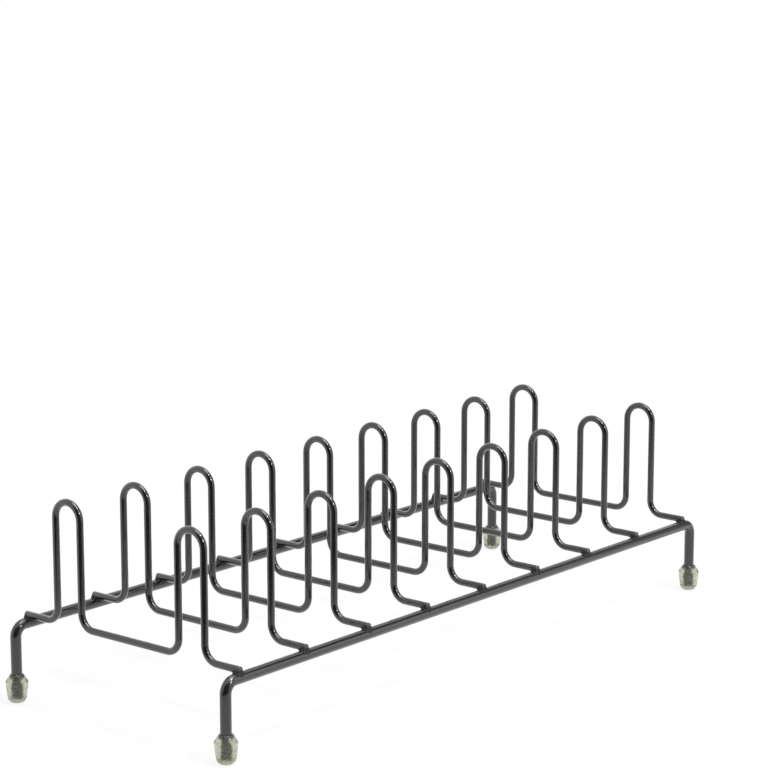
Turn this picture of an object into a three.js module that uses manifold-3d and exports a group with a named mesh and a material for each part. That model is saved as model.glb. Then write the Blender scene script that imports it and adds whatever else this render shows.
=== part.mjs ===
// Plate display stand: bent plate wires welded across two bent rails, whose legs stand in
// soft caps. Millimetres, +Z up, +X along the rails, +Y to the rear. The origin is on the
// table, in the middle of the footprint.

import * as THREE from "three";
import { mergeVertices } from "three/addons/utils/BufferGeometryUtils.js";
import Module from "manifold-3d";

// Plate wires
const wireCount = 9;
const wirePitch = 48; // one plate stands in each space between two wires
const wireDiameter = 3.75;
const wireBendRadius = 8; // to the wire's axis, where a leg meets a level run
const wireOverhang = 1.3; // how far a wire end passes the rail's axis
const hairpinRise = 68.7; // from the rail's axis up to the axis of a hairpin's crown
const hairpinWidth = 17.6; // between the axes of a hairpin's two legs
const hairpinSetback = 31; // from the rail's axis inwards to the middle of a hairpin

// Rails
const railDiameter = 5.8;
const railSpacing = 148; // between the axes of the front and the rear rail
const railHeight = 40.6; // from the table up to the rail's axis
const railBendRadius = 6; // to the rail's axis, where a leg turns down

// Welds
const weldSetdown = 0.55; // how far welding sinks a wire into the rail
const weldRadius = 2.9;
const weldInset = 1.2; // from the rail's axis inwards to the weld's middle
const weldFootDrop = 2; // from the rail's crest down its inner side
const weldClimb = 0.4; // from the weld's rim up to the wire's axis
const weldClearance = 0.3;
const weldLand = 0.4; // straight rail left between the last weld and the bend

// Leg caps
const capHeight = 15;
const capFloor = 2; // soft material under the leg's end
const capClearance = 0.4; // round the leg, and under its end
const capLipWall = 0.6;
const capShoulderWall = 2.8; // at the cap's widest ring
const capShoulderHeight = 10.8;
const capShoulderRound = 1.5; // rounding where the side turns in towards the lip
const capShoulderTurn = 50; // degrees of that rounding
const capFootWall = 1.9;
const capEdge = 1.8; // rounding between the cap's side and its flat underside

// Facets
const rodSides = 12; // a multiple of four, so that a rod has flats on top, below and beside
const bendSteps = 4; // in a quarter bend
const capSides = 24;
const capArcSteps = 3;
const weldSides = 12;

const wireRadius = wireDiameter / 2;
const railRadius = railDiameter / 2;
const railReach = railSpacing / 2;
const wireLift = railRadius + wireRadius - weldSetdown;
const wireReach = (wireCount - 1) * wirePitch / 2;
const legReach = wireReach + weldRadius + weldLand + railBendRadius;
const legEnd = capFloor + capClearance - railHeight;

const wasm = await Module();
wasm.setup();

const finishes = {
  rod: { color: 0x3b3c3e, roughness: 0.3, metalness: 0.8 },
  weld: { color: 0x232324, roughness: 0.5, metalness: 0.7 },
  cap: { color: 0xcdcfba, roughness: 0.35, metalness: 0, transparent: true, opacity: 0.6 },
};

// A rod's path, known only at its stations: one at each end of a straight run, and one at
// each step of a bend, so that long runs stay a single step.
class StationPath extends THREE.Curve {
  constructor(stations) {
    super();
    this.stations = stations;
  }

  getUtoTmapping(u) {
    return u;
  }

  stationAt(t) {
    return this.stations[Math.round(t * (this.stations.length - 1))];
  }

  getPoint(t, target = new THREE.Vector3()) {
    return target.copy(this.stationAt(t).point);
  }

  getTangent(t, target = new THREE.Vector3()) {
    return target.copy(this.stationAt(t).tangent);
  }
}

function direction(from, to) {
  return to.clone().sub(from).normalize();
}

// The stations of one bend: a round arc that leaves the corner's two sides at their tangents.
function bendStations(arriving, leaving, corner) {
  const turn = arriving.angleTo(leaving);
  const trim = corner.bend * Math.tan(turn / 2);
  const inward = leaving.clone().projectOnPlane(arriving).normalize();
  const centre = corner.point.clone().addScaledVector(arriving, -trim);
  centre.addScaledVector(inward, corner.bend);
  const stations = [];
  for (let step = 0; step <= bendSteps; step += 1) {
    const angle = turn * step / bendSteps;
    const along = arriving.clone().multiplyScalar(Math.sin(angle));
    const out = inward.clone().multiplyScalar(-Math.cos(angle));
    const point = centre.clone().addScaledVector(along.add(out), corner.bend);
    const tangent = arriving.clone().multiplyScalar(Math.cos(angle));
    tangent.addScaledVector(inward, Math.sin(angle));
    stations.push({ point, tangent });
  }
  return stations;
}

// A path through corners { point, bend }, rounded at every corner but the two ends. Two bends
// that meet share one station.
function bentPath(corners) {
  const tooClose = 1e-6;
  const last = corners.length - 1;
  const stations = [{ point: corners[0].point, tangent: direction(corners[0].point, corners[1].point) }];
  for (let i = 1; i < last; i += 1) {
    const arriving = direction(corners[i - 1].point, corners[i].point);
    const leaving = direction(corners[i].point, corners[i + 1].point);
    for (const station of bendStations(arriving, leaving, corners[i])) {
      if (station.point.distanceTo(stations.at(-1).point) > tooClose) {
        stations.push(station);
      }
    }
  }
  const tangent = direction(corners[last - 1].point, corners[last].point);
  stations.push({ point: corners[last].point, tangent });
  return new StationPath(stations);
}

// A regular polygon drawn round the true section, with flats on top and below.
function roundSection(radius) {
  const halfStep = Math.PI / rodSides;
  const cornerRadius = radius / Math.cos(halfStep);
  const corners = [];
  for (let i = 0; i < rodSides; i += 1) {
    const angle = (2 * i + 1) * halfStep;
    corners.push(new THREE.Vector2(Math.cos(angle), Math.sin(angle)).multiplyScalar(cornerRadius));
  }
  return new THREE.Shape(corners);
}

function bentRod(radius, corners) {
  const extrudePath = bentPath(corners);
  const steps = extrudePath.stations.length - 1;
  return new THREE.ExtrudeGeometry(roundSection(radius), { steps, extrudePath, bevelEnabled: false });
}

// A solid of revolution about +Z from a profile of [radius, height] pairs, bottom to top.
function turned(profile, sides) {
  const points = profile.map(([radius, height]) => new THREE.Vector2(radius, height));
  return new THREE.LatheGeometry(points, sides).rotateX(Math.PI / 2);
}

function toManifold(geometry) {
  const bare = geometry.clone();
  bare.deleteAttribute("normal");
  bare.deleteAttribute("uv");
  const merged = mergeVertices(bare);
  const mesh = new wasm.Mesh({
    numProp: 3,
    vertProperties: merged.attributes.position.array,
    triVerts: new Uint32Array(merged.index.array),
  });
  return new wasm.Manifold(mesh);
}

function toGeometry(manifold) {
  const mesh = manifold.getMesh();
  const geometry = new THREE.BufferGeometry();
  geometry.setAttribute("position", new THREE.BufferAttribute(mesh.vertProperties, 3));
  geometry.setIndex(new THREE.BufferAttribute(mesh.triVerts, 1));
  geometry.computeVertexNormals();
  return geometry;
}

// A straight rod along one axis, drawn a clearance thicker than what it makes room for.
function roomFor(radius, from, to) {
  return toManifold(bentRod(radius + weldClearance, [{ point: from }, { point: to }]));
}

function roomForRail(y) {
  const reach = 2 * weldRadius;
  return roomFor(railRadius, new THREE.Vector3(-reach, y, 0), new THREE.Vector3(reach, y, 0));
}

// One plate wire at x = 0, heights from the rail's axis. Each half is a level run over its
// rail, then a hairpin, and one low trough between the hairpins joins the halves. A saddle
// under each end is the dent that welding presses there.
function plateWire() {
  const half = hairpinWidth / 2;
  const middle = railReach - hairpinSetback;
  const corner = (y, z, bend) => ({ point: new THREE.Vector3(0, y, z), bend });
  const halfWire = (side) => [
    corner(side * (railReach + wireOverhang), wireLift, 0),
    corner(side * (middle + half), wireLift, wireBendRadius),
    corner(side * (middle + half), hairpinRise, half),
    corner(side * (middle - half), hairpinRise, half),
    corner(side * (middle - half), wireLift, wireBendRadius),
  ];
  const wire = toManifold(bentRod(wireRadius, [...halfWire(-1), ...halfWire(1).reverse()]));
  return toGeometry(wire.subtract(roomForRail(-railReach)).subtract(roomForRail(railReach)));
}

// One rail at y = 0, with its leg at each end turned down into a cap.
function rail() {
  const corner = (x, z, bend) => ({ point: new THREE.Vector3(x, 0, z), bend });
  return bentRod(railRadius, [
    corner(-legReach, legEnd, 0),
    corner(-legReach, 0, railBendRadius),
    corner(legReach, 0, railBendRadius),
    corner(legReach, legEnd, 0),
  ]);
}

// The metal squeezed out at a front crossing, with the rail's axis at y = 0: it lies on the
// rail's inner shoulder, passes under the wire and rises beside it.
function weld() {
  const foot = railRadius - weldFootDrop;
  const rim = wireLift - weldClimb;
  const blank = turned([[0, foot], [weldRadius, foot], [weldRadius, rim], [0, rim]], weldSides);
  blank.translate(0, weldInset, 0);
  const reach = 2 * weldRadius;
  const wireRoom = roomFor(
    wireRadius,
    new THREE.Vector3(0, -reach, wireLift),
    new THREE.Vector3(0, reach, wireLift),
  );
  return toGeometry(toManifold(blank).subtract(roomForRail(0)).subtract(wireRoom));
}

// Points of a round stretch of a profile, from one angle to another, in degrees.
function profileArc(radius, height, size, from, to) {
  const points = [];
  for (let step = 0; step <= capArcSteps; step += 1) {
    const angle = THREE.MathUtils.degToRad(from + (to - from) * step / capArcSteps);
    points.push([radius + size * Math.cos(angle), height + size * Math.sin(angle)]);
  }
  return points;
}

// One cap standing on the table with its bore up. It is widest at the shoulder and hugs the
// leg at its lip.
function legCap() {
  const bore = railRadius + capClearance;
  const foot = bore + capFootWall;
  const shoulder = bore + capShoulderWall;
  return turned([
    [0, 0],
    ...profileArc(foot - capEdge, capEdge, capEdge, -90, 0),
    ...profileArc(shoulder - capShoulderRound, capShoulderHeight, capShoulderRound, 0, capShoulderTurn),
    [bore + capLipWall, capHeight],
    [bore, capHeight],
    [bore, capFloor],
    [0, capFloor],
  ], capSides);
}

function place(group, name, geometry, finish, x, y) {
  const mesh = new THREE.Mesh(geometry, new THREE.MeshStandardMaterial(finish));
  mesh.name = name;
  mesh.position.set(x, y, 0);
  group.add(mesh);
  return mesh;
}

const stand = new THREE.Group();
const rack = new THREE.Group();
rack.position.z = railHeight;
stand.add(rack);

const railGeometry = rail();
const wireGeometry = plateWire();
const weldGeometry = weld();
const capGeometry = legCap();

for (const [side, y] of [["front", -railReach], ["rear", railReach]]) {
  place(rack, `${side}_rail`, railGeometry, finishes.rod, 0, y);
  place(stand, `foot_cap_${side}_left`, capGeometry, finishes.cap, -legReach, y);
  place(stand, `foot_cap_${side}_right`, capGeometry, finishes.cap, legReach, y);
  for (let i = 0; i < wireCount; i += 1) {
    const x = i * wirePitch - wireReach;
    const mesh = place(rack, `weld_${side}_${i + 1}`, weldGeometry, finishes.weld, x, y);
    mesh.rotation.z = side === "front" ? 0 : Math.PI;
  }
}
for (let i = 0; i < wireCount; i += 1) {
  place(rack, `plate_wire_${i + 1}`, wireGeometry, finishes.rod, i * wirePitch - wireReach, 0);
}

export default stand;
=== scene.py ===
import math

import bmesh
import bpy
from mathutils import Matrix, Vector, noise


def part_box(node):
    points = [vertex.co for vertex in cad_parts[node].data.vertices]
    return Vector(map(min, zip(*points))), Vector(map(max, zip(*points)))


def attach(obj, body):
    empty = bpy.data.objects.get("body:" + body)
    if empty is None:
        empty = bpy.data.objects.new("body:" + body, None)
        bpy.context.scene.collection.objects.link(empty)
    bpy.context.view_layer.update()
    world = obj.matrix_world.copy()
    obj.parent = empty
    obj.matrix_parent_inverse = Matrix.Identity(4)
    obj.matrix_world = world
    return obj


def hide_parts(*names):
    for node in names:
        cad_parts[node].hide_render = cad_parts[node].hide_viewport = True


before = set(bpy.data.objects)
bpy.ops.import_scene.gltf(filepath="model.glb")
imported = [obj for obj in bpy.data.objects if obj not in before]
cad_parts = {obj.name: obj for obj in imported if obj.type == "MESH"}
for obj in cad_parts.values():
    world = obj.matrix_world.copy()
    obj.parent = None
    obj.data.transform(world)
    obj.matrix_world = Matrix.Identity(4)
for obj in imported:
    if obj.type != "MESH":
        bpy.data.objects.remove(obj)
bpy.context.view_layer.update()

railLow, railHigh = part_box("rear_rail")
railRadius = (railHigh.y - railLow.y) / 2
up = Vector((0, 0, 1))
across = Vector((1, 0, 0))   # along the rails
rearward = Vector((0, 1, 0))
quarterTurn = math.pi / 2
print("frame loaded:", len(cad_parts), "nodes")


# a socket that can be used in Python expressions
class Value:
    def __init__(self, shader, socket):
        self.shader = shader
        self.socket = socket

    def join(self, operation, first, second):
        return self.shader.node("ShaderNodeMath", {"operation": operation}, {0: first, 1: second})

    def __add__(self, other):
        return self.join("ADD", self, other)

    def __rsub__(self, other):
        return self.join("SUBTRACT", other, self)

    def __mul__(self, other):
        return self.join("MULTIPLY", self, other)

    __radd__ = __add__
    __rmul__ = __mul__


class Shader:
    def __init__(self, owner):
        owner.use_nodes = True
        self.tree = owner.node_tree
        self.tree.nodes.clear()

    # one node of any kind: settings first, then the values or links of its sockets
    def node(self, kind, settings=None, inputs=None, output=0):
        made = self.tree.nodes.new(kind)
        for name, value in (settings or {}).items():
            setattr(made, name, value)
        for name, value in (inputs or {}).items():
            if isinstance(value, Value):
                self.tree.links.new(value.socket, made.inputs[name])
            else:
                made.inputs[name].default_value = value
        return Value(self, made.outputs[output]) if made.outputs else None

    def noise(self, place, scale, detail=2.0, roughness=0.5):
        inputs = {"Vector": place, "Scale": scale, "Detail": detail, "Roughness": roughness}
        return self.node("ShaderNodeTexNoise", None, inputs)

    def stretch(self, place, scale):
        return self.node("ShaderNodeVectorMath", {"operation": "MULTIPLY"}, {0: place, 1: scale})

    # 0 up to the first of two values, and 1 from the second one
    def ramp(self, value, edges):
        made = self.node("ShaderNodeValToRGB", None, {"Fac": value})
        for stop, position in zip(made.socket.node.color_ramp.elements, edges):
            stop.position = position
        return made

    # 0 at the first of two heights or distances and 1 at the second, with soft or straight ends
    def rise(self, value, edges, soft=True):
        settings = {"interpolation_type": "SMOOTHSTEP" if soft else "LINEAR"}
        inputs = {"Value": value, "From Min": edges[0], "From Max": edges[1]}
        return self.node("ShaderNodeMapRange", settings, inputs)

    def blend(self, amount, first, second):
        settings = {"data_type": "RGBA"}
        return self.node("ShaderNodeMix", settings, {0: amount, 6: first, 7: second}, output=2)

    def bump(self, height, distance, normal=None):
        inputs = {"Height": height, "Distance": distance, "Strength": 1.0}
        if normal:
            inputs["Normal"] = normal
        return self.node("ShaderNodeBump", None, inputs)

    def finish(self, surface, kind="ShaderNodeOutputMaterial"):
        self.node(kind, None, {"Surface": surface})


def newMaterial(name):
    material = bpy.data.materials.new(name)
    return material, Shader(material)


# the gloss coat on the rails and the plate wires
enamel = {
    "dark": (0.007, 0.0072, 0.0078, 1),
    "thin": (0.016, 0.0162, 0.017, 1),     # where the coat is thin and the steel shows through
    "scuff": (0.060, 0.058, 0.056, 1),
    "thinEdges": (0.35, 0.75),
    "thinInClouds": 0.6,
    "thinInBends": 0.25,
    "roughness": 0.15,
    "wireCoat": 0.9,
    "railCoat": 0.7,
    "coatRoughness": 0.05,
    "cloudScale": 60.0,                    # scales are per metre
    "cloudRoughness": 0.06,
    "peelScale": 520.0,                    # soft unevenness of the coat
    "peelDepth": 0.00013,
    "peelOnRuns": 0.35,
    "peelInBends": 0.65,                   # what a bend adds to it
    "drawScale": (2600.0, 2600.0, 40.0),   # fine lines left by drawing the rod through its die
    "drawDepth": 0.000008,
    "wireScuff": (0.07, 0.11),             # plates rub the wires from the first height upwards
    "railScuff": (0.2, 0.3),               # higher than the rails, so that they stay unrubbed
    "speckScale": 900.0,
    "speckShare": 0.6,                     # the rest of the scuffs' pattern is the clouds
    "scuffEdges": (0.56, 0.66),
    "scuffStrength": 0.5,
    "scuffRoughness": 0.3,
    "scuffCoatLoss": 0.5,
}


def makeEnamel(name, coat, scuffHeights):
    material, shader = newMaterial(name)
    straight = shader.node("ShaderNodeAttribute", {"attribute_name": "straight"}, output=1)
    bent = shader.node("ShaderNodeAttribute", {"attribute_name": "bent"}, output=2)
    place = shader.node("ShaderNodeTexCoord", output=3)
    height = shader.node("ShaderNodeSeparateXYZ", None, {0: place}, output=2)

    peel = shader.noise(straight, enamel["peelScale"], detail=1.0)
    lines = shader.noise(shader.stretch(straight, enamel["drawScale"]), 1.0)
    cloud = shader.noise(place, enamel["cloudScale"], detail=3.0)
    speck = shader.noise(place, enamel["speckScale"], detail=4.0, roughness=0.7)

    marks = speck * enamel["speckShare"] + cloud * (1 - enamel["speckShare"])
    reach = shader.rise(height, scuffHeights, soft=False)
    scuff = shader.ramp(marks, enamel["scuffEdges"]) * reach * enamel["scuffStrength"]

    thin = shader.ramp(cloud, enamel["thinEdges"]) * enamel["thinInClouds"]
    colour = shader.blend(thin + bent * enamel["thinInBends"], enamel["dark"], enamel["thin"])
    colour = shader.blend(scuff, colour, enamel["scuff"])

    unevenness = enamel["peelOnRuns"] + bent * enamel["peelInBends"]
    relief = shader.bump(peel * unevenness, enamel["peelDepth"])
    relief = shader.bump(lines, enamel["drawDepth"], relief)
    surface = shader.node("ShaderNodeBsdfPrincipled", None, {
        "Base Color": colour,
        "Roughness": enamel["roughness"] + cloud * enamel["cloudRoughness"]
                     + scuff * enamel["scuffRoughness"],
        "Coat Weight": coat - scuff * enamel["scuffCoatLoss"],
        "Coat Roughness": enamel["coatRoughness"],
        "Normal": relief,
    })
    shader.finish(surface)
    return material


weldMetal = {
    # painted shade: this near-black base is partly heat tint and partly shade painted into the crook
    # under each wire's tip
    "burntAndShaded": (0.006, 0.0058, 0.0056, 1),
    "warm": (0.022, 0.019, 0.015, 1),
    "warmEdges": (0.4, 0.7),
    "coarseScale": 900.0,
    "coarseDepth": 0.00025,
    "fineScale": 3200.0,
    "fineDepth": 0.00005,
    "roughness": 0.48,
    "fineRoughness": 0.2,
    "specular": 0.32,
    "coat": 0.05,
    "coatRoughness": 0.12,
}


def makeWeldMetal():
    material, shader = newMaterial("weldMetal")
    place = shader.node("ShaderNodeTexCoord", output=3)
    coarse = shader.noise(place, weldMetal["coarseScale"], detail=3.0, roughness=0.6)
    fine = shader.noise(place, weldMetal["fineScale"])
    warmth = shader.ramp(coarse, weldMetal["warmEdges"])
    # painted shade: the near-black base, partly heat tint and partly painted crook shadow, blended
    # with the warm heat tint
    colour = shader.blend(warmth, weldMetal["burntAndShaded"], weldMetal["warm"])
    relief = shader.bump(coarse, weldMetal["coarseDepth"])
    relief = shader.bump(fine, weldMetal["fineDepth"], relief)
    surface = shader.node("ShaderNodeBsdfPrincipled", None, {
        "Base Color": colour,
        "Roughness": weldMetal["roughness"] + fine * weldMetal["fineRoughness"],
        "Specular IOR Level": weldMetal["specular"],
        "Coat Weight": weldMetal["coat"],
        "Coat Roughness": weldMetal["coatRoughness"],
        "Normal": relief,
    })
    shader.finish(surface)
    return material


vinyl = {
    "clear": (0.70, 0.71, 0.58, 1),
    "cloudy": (0.45, 0.46, 0.34, 1),
    "cloudScale": 240.0,
    "cloudEdges": (0.4, 0.7),
    "milk": (0.50, 0.50, 0.42, 1),
    "milkEdges": (0.0048, 0.001),          # clear above the first height, and milky below the second
    "milkUneven": 0.001,
    "milkInFoot": 0.6,
    "milkEverywhere": 0.06,
    "milkRoughness": 0.35,
    "ior": 1.5,
    "roughness": 0.22,
    "cloudRoughness": 0.12,
    "waveScale": 380.0,
    "waveDepth": 0.00025,
}


def makeVinyl():
    material, shader = newMaterial("capVinyl")
    place = shader.node("ShaderNodeTexCoord", output=3)
    height = shader.node("ShaderNodeSeparateXYZ", None, {0: place}, output=2)
    wave = shader.noise(place, vinyl["waveScale"])
    haze = shader.ramp(shader.noise(place, vinyl["cloudScale"], detail=1.0), vinyl["cloudEdges"])
    relief = shader.bump(wave, vinyl["waveDepth"])
    glassy = shader.node("ShaderNodeBsdfPrincipled", None, {
        "Base Color": shader.blend(haze, vinyl["clear"], vinyl["cloudy"]),
        "Roughness": vinyl["roughness"] + haze * vinyl["cloudRoughness"],
        "IOR": vinyl["ior"],
        "Transmission Weight": 1.0,
        "Normal": relief,
    })
    milky = shader.node("ShaderNodeBsdfPrincipled", None, {
        "Base Color": vinyl["milk"],
        "Roughness": vinyl["milkRoughness"],
        "Normal": relief,
    })
    low = shader.rise(height + haze * vinyl["milkUneven"], vinyl["milkEdges"])
    milkiness = low * vinyl["milkInFoot"] + vinyl["milkEverywhere"]
    shader.finish(shader.node("ShaderNodeMixShader", None, {0: milkiness, 1: glassy, 2: milky}))
    return material


# every visible piece is made here: it hides the CAD parts that it replaces and rides on the root body
def meshPiece(name, bm, material, slot, *nodes, subdivide=0):
    mesh = bpy.data.meshes.new(name)
    bmesh.ops.recalc_face_normals(bm, faces=bm.faces[:])
    bm.to_mesh(mesh)
    bm.free()
    mesh.polygons.foreach_set("use_smooth", [True] * len(mesh.polygons))
    piece = bpy.data.objects.new(name, mesh)
    bpy.context.scene.collection.objects.link(piece)
    mesh.materials.append(material)
    if subdivide:
        modifier = piece.modifiers.new("Subdivision", "SUBSURF")
        modifier.levels = subdivide
        modifier.render_levels = subdivide
    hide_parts(*nodes)
    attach(piece, "root")


# A round rod made as it is bent: one ring of edges, carried along runs and round bends.
# "straight" keeps where each point lay before bending, and "bent" is 1 in the bends.
class BentRod:
    def __init__(self, radius, sides, start, heading, tip):
        self.bm = bmesh.new()
        self.straight = self.bm.verts.layers.float_vector.new("straight")
        self.bent = self.bm.verts.layers.float.new("bent")
        self.tip = tip
        self.rims = []
        self.travelled = 0.0
        self.point = start.copy()
        self.heading = heading.normalized()
        facing = self.heading.to_track_quat("Z", "Y").to_matrix().to_4x4()
        bmesh.ops.create_circle(self.bm, segments=sides, radius=radius,
                                matrix=Matrix.Translation(start) @ facing)
        for corner in self.bm.verts:
            flat = facing.inverted() @ (corner.co - start)
            corner[self.straight] = (flat.x, flat.y, 0.0)
        self.ring = self.bm.edges[:]
        self.capEnd()

    # closes an end, and keeps its face so that its rim can be rounded
    def capEnd(self):
        cap = bmesh.ops.edgeloop_fill(self.bm, edges=self.ring)["faces"]
        self.rims.append(cap[0])

    def nextRing(self, length, bent):
        grown = bmesh.ops.extrude_edge_only(self.bm, edges=self.ring)["geom"]
        corners = [part for part in grown if isinstance(part, bmesh.types.BMVert)]
        fresh = set(corners)
        self.ring = [part for part in grown if isinstance(part, bmesh.types.BMEdge)
                     and fresh.issuperset(part.verts)]
        self.travelled += length
        for corner in corners:
            before = corner[self.straight]
            corner[self.straight] = (before[0], before[1], self.travelled)
            corner[self.bent] = bent
        return corners

    def run(self, length):
        corners = self.nextRing(length, 0.0)
        bmesh.ops.translate(self.bm, verts=corners, vec=self.heading * length)
        self.point += self.heading * length

    def bend(self, radius, inward, angle, steps):
        centre = self.point + inward.normalized() * radius
        axis = self.heading.cross(inward).normalized()
        for step in range(1, steps + 1):
            turn = Matrix.Rotation(angle / steps, 3, axis)
            amount = math.sin(math.pi * step / steps)
            corners = self.nextRing(radius * angle / steps, amount)
            bmesh.ops.rotate(self.bm, verts=corners, cent=centre, matrix=turn)
            self.point = centre + turn @ (self.point - centre)
            self.heading = turn @ self.heading

    # rounds both rims a little, as the coat does
    def finish(self):
        self.capEnd()
        rim = [edge for face in self.rims for edge in face.edges]
        bmesh.ops.bevel(self.bm, geom=rim, offset=self.tip, affect="EDGES", segments=3,
                        profile=0.5, material=-1)
        return self.bm


plateWire = {
    "count": 9,
    "sides": 24,
    "bendRadius": 0.008,
    "hairpinWidth": 0.0176,
    "hairpinSetback": 0.031,   # from a rail's axis to the middle of its hairpin
    "bendSteps": 12,
    "tip": 0.0003,
    "headroom": 1e-7,          # keeps the hairpins from rounding up past the CAD's top
}


def makePlateWire(number, material):
    node = f"plate_wire_{number}"
    low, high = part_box(node)
    radius = (high.x - low.x) / 2
    railReach = railHigh.y - railRadius
    bendRadius = plateWire["bendRadius"]
    half = plateWire["hairpinWidth"] / 2
    middle = railReach - plateWire["hairpinSetback"]
    level = low.z + radius
    crown = high.z - radius - plateWire["headroom"]
    leg = crown - half - (level + bendRadius)
    endRun = high.y - (middle + half) - bendRadius
    trough = 2 * (middle - half - bendRadius)
    steps = plateWire["bendSteps"]

    start = Vector(((low.x + high.x) / 2, low.y, level))
    rod = BentRod(radius, plateWire["sides"], start, rearward, plateWire["tip"])
    rod.run(endRun)
    # a hairpin up and over, then the level run after it
    for levelRun in (trough, endRun):
        rod.bend(bendRadius, up, quarterTurn, steps)
        rod.run(leg)
        rod.bend(half, rearward, 2 * quarterTurn, 2 * steps)
        rod.run(leg)
        rod.bend(bendRadius, rearward, quarterTurn, steps)
        rod.run(levelRun)
    meshPiece(f"plateWire{number}", rod.finish(), material, "wire_finish", node)


rail = {
    "sides": 32,
    "bendRadius": 0.006,
    "bendSteps": 16,
    "tip": 0.0005,
}


def makeRail(side, material):
    node = f"{side}_rail"
    low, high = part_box(node)
    legReach = high.x - railRadius
    legLength = high.z - railRadius - rail["bendRadius"] - low.z
    start = Vector((-legReach, (low.y + high.y) / 2, low.z))
    rod = BentRod(railRadius, rail["sides"], start, up, rail["tip"])
    rod.run(legLength)
    rod.bend(rail["bendRadius"], across, quarterTurn, rail["bendSteps"])
    rod.run(2 * (legReach - rail["bendRadius"]))
    rod.bend(rail["bendRadius"], -up, quarterTurn, rail["bendSteps"])
    rod.run(legLength)
    meshPiece(f"{side}Rail", rod.finish(), material, "rail_finish", node)


weld = {
    "detail": 4,
    "reach": 0.0036,             # from its middle to its furthest point
    "blend": 0.0021,             # how widely it fills the crook between the rods
    "skin": 0.00007,             # how far it slips under the rods' surfaces at its rim
    "inset": 0.0006,             # its middle lies this far inwards from the rail's axis
    "sink": 0.0004,              # and this far below the rail's top
    "ragged": 0.00018,
    "raggedScale": 620.0,
    "seeds": (7.3, 11.0),        # per wire and per rail, so that no two welds are alike
    "halvings": 14,              # how closely each point's distance is found
}


def makeWeld(side, number, material):
    node = f"weld_{side}_{number}"
    wireLow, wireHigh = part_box(f"plate_wire_{number}")
    outward = -1 if side == "front" else 1
    wireRadius = (wireHigh.x - wireLow.x) / 2
    railAxis = Vector((0, outward * (railHigh.y - railRadius), railHigh.z - railRadius))
    wireAxis = Vector(((wireLow.x + wireHigh.x) / 2, 0, wireLow.z + wireRadius))
    tip = wireHigh.y if side == "rear" else -wireLow.y
    seed = Vector((number * weld["seeds"][0], outward * weld["seeds"][1], 0))

    # below 0 inside the two rods and the metal between them, as a smooth union
    def depth(point, travelled):
        toRail = (point - railAxis).yz.length - railRadius
        toWire = (point - wireAxis).xz.length - wireRadius
        toWire = max(toWire, point.y * outward - tip)
        near = max(weld["blend"] - abs(toRail - toWire), 0) / weld["blend"]
        union = min(toRail, toWire) - near * near * weld["blend"] / 4
        lump = weld["ragged"] * near * noise.noise(seed + point * weld["raggedScale"])
        return union + lump + weld["skin"] * (travelled / weld["reach"]) ** 2

    middle = Vector((wireAxis.x, railAxis.y - outward * weld["inset"], railHigh.z - weld["sink"]))
    bm = bmesh.new()
    bmesh.ops.create_icosphere(bm, subdivisions=weld["detail"], radius=1.0)
    for corner in bm.verts:
        out = corner.co.normalized()
        near, far = 0.0, weld["reach"]
        if depth(middle + out * far, far) > 0:
            for _ in range(weld["halvings"]):
                half = (near + far) / 2
                if depth(middle + out * half, half) > 0:
                    far = half
                else:
                    near = half
        corner.co = middle + out * far
    meshPiece(f"weld{side.title()}{number}", bm, material, "weld_metal", node)


legCap = {
    "steps": 48,
    "subdivide": 1,
    "grip": 0.00006,             # the bore is this much under the leg at its mouth, so it holds on
    "gripHeight": 0.0016,
    "gap": 0.00018,              # and this much over it further down, which leaves air round the leg
    "gapHeight": 0.0024,         # how far below the top the gap is full
    "lean": 0.00005,             # the wide part of the bore lies this far to one side
    "foot": 0.0052,
    "edge": 0.0030,
    "edgeTurn": (-67.5, -45, -22.5, 0),      # degrees of its points, with 0 outwards
    "shoulderHeight": 0.0107,
    "shoulderRound": 0.0016,
    "shoulderTurn": (0, 18, 36, 54),
    "lip": 0.0006,
    "mouth": ((2.2, 0.0006), (1.4, 0.0001), (0.7, 0.0), (0.0, 0.0004)),   # lips outwards, drop
    "well": ((0.0, 0.0004), (0.0002, 0.00005), (0.0006, -0.0001)),        # inwards, rise
    "wobble": 0.00026,
    "wobbleScale": 330.0,
    "wobbleFrom": 0.0005,        # the underside stays flat up to this height
    "seeds": {"front": 3.0, "rear": 8.0, "left": 2.0, "right": 6.0},
    "merge": 0.000001,
    "wallReach": 0.00001,        # points this close to the bore's radius belong to its wall
}


# the points of an arc at these degrees round its centre
def arc(out, height, radius, turn):
    angles = [math.radians(degrees) for degrees in turn]
    return [(out + radius * math.cos(angle), height + radius * math.sin(angle)) for angle in angles]


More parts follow.
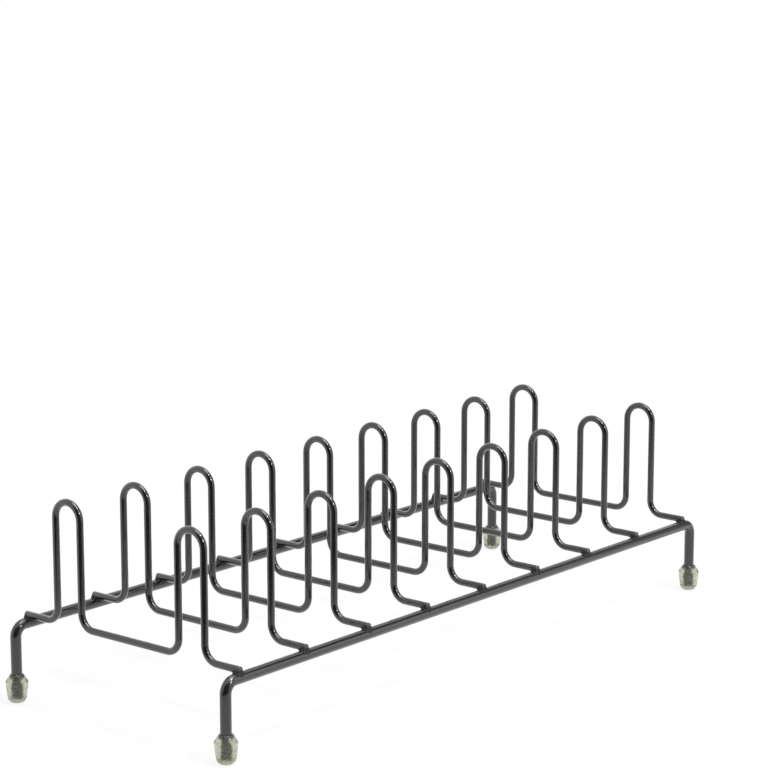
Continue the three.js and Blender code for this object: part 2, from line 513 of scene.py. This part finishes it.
def makeLegCap(side, end, material):
    node = f"foot_cap_{side}_{end}"
    low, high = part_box(node)
    middle = Vector(((low.x + high.x) / 2, (low.y + high.y) / 2, 0))
    bore = railRadius - legCap["grip"]
    loose = railRadius + legCap["gap"]
    shoulder = (high.x - low.x) / 2
    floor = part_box(f"{side}_rail")[0].z
    flat = legCap["foot"] - legCap["edge"]
    turned = legCap["shoulderRound"]

    # half of the cap's outline, from the middle of its underside round to the bore's floor
    outline = [(0.0, 0.0), (flat, 0.0)]
    outline += arc(flat, legCap["edge"], legCap["edge"], legCap["edgeTurn"])
    outline += arc(shoulder - turned, legCap["shoulderHeight"], turned, legCap["shoulderTurn"])
    outline += [(bore + lips * legCap["lip"], high.z - drop) for lips, drop in legCap["mouth"]]
    outline += [(bore, high.z - legCap["gripHeight"]), (loose, high.z - legCap["gapHeight"])]
    outline += [(loose - inset, floor + rise) for inset, rise in legCap["well"]]
    outline.append((0.0, outline[-1][1]))

    bm = bmesh.new()
    points = [bm.verts.new(Vector((radius, 0, height))) for radius, height in outline]
    edges = [bm.edges.new(pair) for pair in zip(points, points[1:])]
    bmesh.ops.spin(bm, geom=points + edges, cent=(0, 0, 0), axis=(0, 0, 1), angle=2 * math.pi,
                   steps=legCap["steps"], use_merge=True)
    bmesh.ops.remove_doubles(bm, verts=bm.verts[:], dist=legCap["merge"])
    seed = Vector((legCap["seeds"][side], legCap["seeds"][end], 0))
    leanWay = seed.x + seed.y    # radians, different for each cap
    lean = Vector((math.cos(leanWay), math.sin(leanWay), 0)) * legCap["lean"]
    for corner in bm.verts:
        reach = math.hypot(corner.co.x, corner.co.y)
        if abs(reach - loose) < legCap["wallReach"]:
            corner.co += lean
        # soft dipped vinyl is never quite round: it only shrinks, so it stays inside the CAD's cap
        if reach > bore + legCap["lip"] and corner.co.z > legCap["wobbleFrom"]:
            uneven = 0.5 + 0.5 * noise.noise(seed + corner.co * legCap["wobbleScale"])
            outward = Vector((corner.co.x, corner.co.y, 0)).normalized()
            corner.co -= outward * legCap["wobble"] * uneven
    bmesh.ops.translate(bm, verts=bm.verts[:], vec=middle)
    meshPiece(f"legCap{side.title()}{end.title()}", bm, material, "cap_vinyl", node,
              subdivide=legCap["subdivide"])


railEnamel = makeEnamel("railEnamel", enamel["railCoat"], enamel["railScuff"])
wireEnamel = makeEnamel("wireEnamel", enamel["wireCoat"], enamel["wireScuff"])
weldFinish = makeWeldMetal()
capVinyl = makeVinyl()
print("finishes made")

for side in ("front", "rear"):
    makeRail(side, railEnamel)
    for number in range(1, plateWire["count"] + 1):
        makeWeld(side, number, weldFinish)
    for end in ("left", "right"):
        makeLegCap(side, end, capVinyl)
print("rails, welds and caps made")

for number in range(1, plateWire["count"] + 1):
    makePlateWire(number, wireEnamel)
print("plate wires made")


studio = {
    "floorSize": 12.0,
    "floorDrop": 0.0002,
    "toothScale": 700.0,         # the paper's fine grain
    "toothDepth": 0.00005,
    "paper": (0.92, 0.92, 0.92, 1),
    "white": (1, 1, 1, 1),
    "glow": 0.87,                # how much of the floor is plain white to the camera
    "fade": (0.35, 0.95),        # from the stand outwards, the floor turns all white
    "ambient": 0.55,
}


# 1 for what the camera sees, straight on or in gloss and clear vinyl
def seenDirectly(shader):
    path = [shader.node("ShaderNodeLightPath", output=name)
            for name in ("Is Camera Ray", "Is Glossy Ray", "Is Transmission Ray")]
    return path[0].join("MAXIMUM", path[0].join("MAXIMUM", path[0], path[1]), path[2])


# 0 near the stand's middle, and 1 from the further of two distances outwards
def fadeOutwards(shader, place, distances):
    away = shader.node("ShaderNodeVectorMath", {"operation": "LENGTH"}, {0: place}, output=1)
    return shader.rise(away, distances)


def makeStagePiece(name, bm, material):
    mesh = bpy.data.meshes.new(name)
    bm.to_mesh(mesh)
    bm.free()
    mesh.materials.append(material)
    piece = bpy.data.objects.new(name, mesh)
    bpy.context.scene.collection.objects.link(piece)
    return piece


def makeFloor():
    material, shader = newMaterial("paper")
    place = shader.node("ShaderNodeTexCoord", output=3)
    fade = fadeOutwards(shader, place, studio["fade"])
    tooth = shader.bump(shader.noise(place, studio["toothScale"], detail=3.0), studio["toothDepth"])
    paper = shader.node("ShaderNodeBsdfDiffuse", None, {"Color": studio["paper"], "Normal": tooth})
    white = shader.node("ShaderNodeEmission", None, {"Color": studio["white"], "Strength": 1.0})
    glow = seenDirectly(shader) * (studio["glow"] + fade * (1 - studio["glow"]))
    shader.finish(shader.node("ShaderNodeMixShader", None, {0: glow, 1: paper, 2: white}))
    bm = bmesh.new()
    bmesh.ops.create_grid(bm, x_segments=1, y_segments=1, size=studio["floorSize"] / 2)
    bmesh.ops.translate(bm, verts=bm.verts[:], vec=(0, 0, -studio["floorDrop"]))
    makeStagePiece("floor", bm, material)


# painted shade in reflections: black cloth that only gloss shows, a curved flag and a floor sheet
# round the camera's side, where the paper ends, and a second flag that paints shade into the right end
# of the rails
reflectedShade = {
    "cameraSide": (-98.0, -8.0),   # degrees round the stand, with 0 in front
    "rightSide": (54.0, 86.0),
    "steps": 12,
    "flagRadius": 3.0,
    "flagTop": 3.4,
    "shadeSheet": (0.30, 0.44),         # where it starts, all white, and from where it is all black
    "black": (0.012, 0.012, 0.012, 1),
}


# sweeps one straight edge round the stand
def sweepReflectedShade(name, first, last, sector, material):
    bm = bmesh.new()
    start = Matrix.Rotation(math.radians(sector[0]), 3, "Z")
    ends = [bm.verts.new(start @ Vector(point)) for point in (first, last)]
    edge = bm.edges.new(ends)
    bmesh.ops.spin(bm, geom=ends + [edge], cent=(0, 0, 0), axis=(0, 0, 1),
                   angle=math.radians(sector[1] - sector[0]), steps=reflectedShade["steps"])
    piece = makeStagePiece(name, bm, material)
    # painted shade: these dark sheets are seen only in gloss, never by the camera, diffuse light,
    # clear vinyl or shadows
    piece.visible_camera = False
    piece.visible_diffuse = False
    piece.visible_transmission = False
    piece.visible_shadow = False


def makeReflectedShade():
    material, shader = newMaterial("reflectedShade")
    place = shader.node("ShaderNodeTexCoord", output=3)
    dark = fadeOutwards(shader, place, reflectedShade["shadeSheet"])
    # painted shade for reflections: white near the stand, black from the sheet's start outwards
    black = shader.node("ShaderNodeBsdfDiffuse", None, {"Color": reflectedShade["black"]})
    white = shader.node("ShaderNodeEmission", None, {"Color": studio["white"], "Strength": 1.0})
    shader.finish(shader.node("ShaderNodeMixShader", None, {0: dark, 1: white, 2: black}))
    radius = reflectedShade["flagRadius"]
    foot, top = (0, -radius, 0), (0, -radius, reflectedShade["flagTop"])
    sweepReflectedShade("cameraSideShadeFlag", foot, top, reflectedShade["cameraSide"], material)
    sweepReflectedShade("rightShadeFlag", foot, top, reflectedShade["rightSide"], material)
    sweepReflectedShade("shadeSheet", (0, -reflectedShade["shadeSheet"][0], 0), foot, reflectedShade["cameraSide"], material)


def makeWorld():
    world = bpy.data.worlds.new("studio")
    bpy.context.scene.world = world
    shader = Shader(world)
    colour = studio["white"]
    light = shader.node("ShaderNodeBackground", None, {"Color": colour, "Strength": studio["ambient"]})
    white = shader.node("ShaderNodeBackground", None, {"Color": colour, "Strength": 1.0})
    mixed = shader.node("ShaderNodeMixShader", None, {0: seenDirectly(shader), 1: light, 2: white})
    shader.finish(mixed, "ShaderNodeOutputWorld")


# stands at a place and looks along a direction
def lookAlong(place, direction):
    return Matrix.Translation(place) @ direction.to_track_quat("-Z", "Y").to_matrix().to_4x4()


lampAim = Vector((0, 0, 0.05))

# each lamp: where it stands, how wide and tall it is, and its power
lamps = {
    "sideBox": {"at": (1.5, -1.25, 0.75), "size": (1.6, 1.4), "power": 3.0},
    "topBox": {"at": (0.1, -0.2, 2.0), "size": (1.2, 0.9), "power": 16.0},
    "key": {"at": (0.1, -1.0, 1.9), "size": (0.3, 0.2), "power": 12.0},
    "frontKey": {"at": (0.0, -1.9, 1.33), "size": (0.36, 0.22), "power": 12.0},
}


def makeLamp(name, setup):
    data = bpy.data.lights.new(name, "AREA")
    data.shape = "RECTANGLE"
    data.size, data.size_y = setup["size"]
    data.energy = setup["power"]
    lamp = bpy.data.objects.new(name, data)
    lamp.matrix_world = lookAlong(setup["at"], lampAim - Vector(setup["at"]))
    bpy.context.scene.collection.objects.link(lamp)


view = {
    "azimuth": math.radians(-50.17),
    "elevation": math.radians(11.29),
    "aim": (0.0061, 0.0, 0.1454),
    "distance": 1.4374,
    "lens": 122.8,
    "sensor": 36.0,
    "nearest": 0.05,
    "furthest": 50.0,
}


def makeCamera():
    data = bpy.data.cameras.new("camera")
    data.lens = view["lens"]
    data.sensor_width = view["sensor"]
    data.clip_start = view["nearest"]
    data.clip_end = view["furthest"]
    camera = bpy.data.objects.new("camera", data)
    flat = math.cos(view["elevation"])
    back = Vector((math.sin(view["azimuth"]) * flat, -math.cos(view["azimuth"]) * flat,
                   math.sin(view["elevation"])))
    camera.matrix_world = lookAlong(Vector(view["aim"]) + back * view["distance"], -back)
    bpy.context.scene.collection.objects.link(camera)
    bpy.context.scene.camera = camera


makeFloor()
makeReflectedShade()
makeWorld()
for name, setup in lamps.items():
    makeLamp(name, setup)
makeCamera()
bpy.context.scene.view_settings.view_transform = "Standard"
print("studio made")
